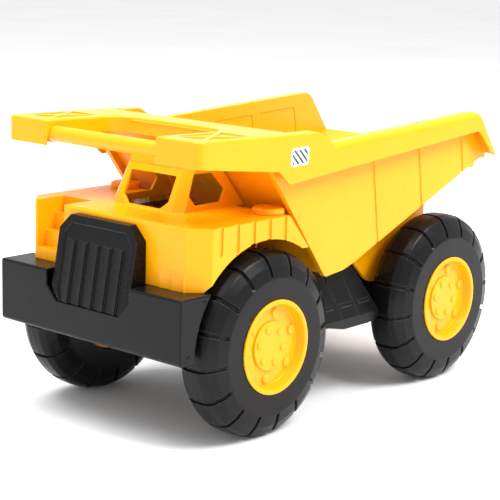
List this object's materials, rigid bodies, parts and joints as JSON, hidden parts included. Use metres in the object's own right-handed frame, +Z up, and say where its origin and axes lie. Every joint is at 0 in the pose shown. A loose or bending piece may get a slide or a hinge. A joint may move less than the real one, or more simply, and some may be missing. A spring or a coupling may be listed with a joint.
{
  "type": "toy dump truck",
  "caption": "Large plastic toy dump truck with an open cab, a tipping bed with a canopy over the cab, a grab bar between the canopy arms and free-rolling wheels.",
  "frame": {"origin": "on the ground, under the middle of the truck's length and width", "axes": "-Y is forwards, +Y the rear, +X the truck's left side, +Z up"},
  "size_m": [0.28, 0.5066, 0.2989],
  "materials": {
    "yellow_plastic": "glossy moulded plastic",
    "black_plastic": "satin moulded plastic",
    "tyre_plastic": "satin blow-moulded plastic",
    "steel": "plain zinc-plated",
    "decal": "printed gloss film"
  },
  "bodies": {
    "chassis": {"chassis_frame": "black_plastic", "chassis_cover": "black_plastic", "cover_screws": "steel", "body_screws": "steel", "bumper_screws": "steel", "front_bumper": "black_plastic", "grille": "black_plastic", "side_step_left": "black_plastic", "side_step_right": "black_plastic", "cab_body": "yellow_plastic", "cab_floor": "black_plastic", "deck_cap_left": "yellow_plastic", "deck_cap_right": "yellow_plastic", "axle_front": "steel", "axle_rear": "steel", "axle_sleeves": "black_plastic", "axle_nuts": "steel", "hinge_pin": "steel", "hinge_caps": "black_plastic"},
    "bed": {"dump_bed": "yellow_plastic", "canopy_bar": "yellow_plastic", "decal_left": "decal", "decal_right": "decal"},
    "wheel_front_left": {"tyre_front_left": "tyre_plastic", "hub_front_left": "yellow_plastic", "hub_cap_front_left": "yellow_plastic"},
    "wheel_front_right": {"tyre_front_right": "tyre_plastic", "hub_front_right": "yellow_plastic", "hub_cap_front_right": "yellow_plastic"},
    "wheel_rear_left": {"tyre_rear_left": "tyre_plastic", "hub_rear_left": "yellow_plastic", "hub_cap_rear_left": "yellow_plastic"},
    "wheel_rear_right": {"tyre_rear_right": "tyre_plastic", "hub_rear_right": "yellow_plastic", "hub_cap_rear_right": "yellow_plastic"}
  },
  "joints": [
    {"name": "bed_tip", "type": "hinge", "parent": "chassis", "child": "bed", "pos_m": [0, 0.1683, 0.125], "axis": [-1, 0, 0], "range_deg": [0, 60]},
    {"name": "spin_front_left", "type": "hinge", "parent": "chassis", "child": "wheel_front_left", "pos_m": [0.113, -0.1328, 0.0925], "axis": [1, 0, 0], "continuous": true},
    {"name": "spin_front_right", "type": "hinge", "parent": "chassis", "child": "wheel_front_right", "pos_m": [-0.113, -0.1328, 0.0925], "axis": [1, 0, 0], "continuous": true},
    {"name": "spin_rear_left", "type": "hinge", "parent": "chassis", "child": "wheel_rear_left", "pos_m": [0.113, 0.1606, 0.0925], "axis": [1, 0, 0], "continuous": true},
    {"name": "spin_rear_right", "type": "hinge", "parent": "chassis", "child": "wheel_rear_right", "pos_m": [-0.113, 0.1606, 0.0925], "axis": [1, 0, 0], "continuous": true}
  ]
}
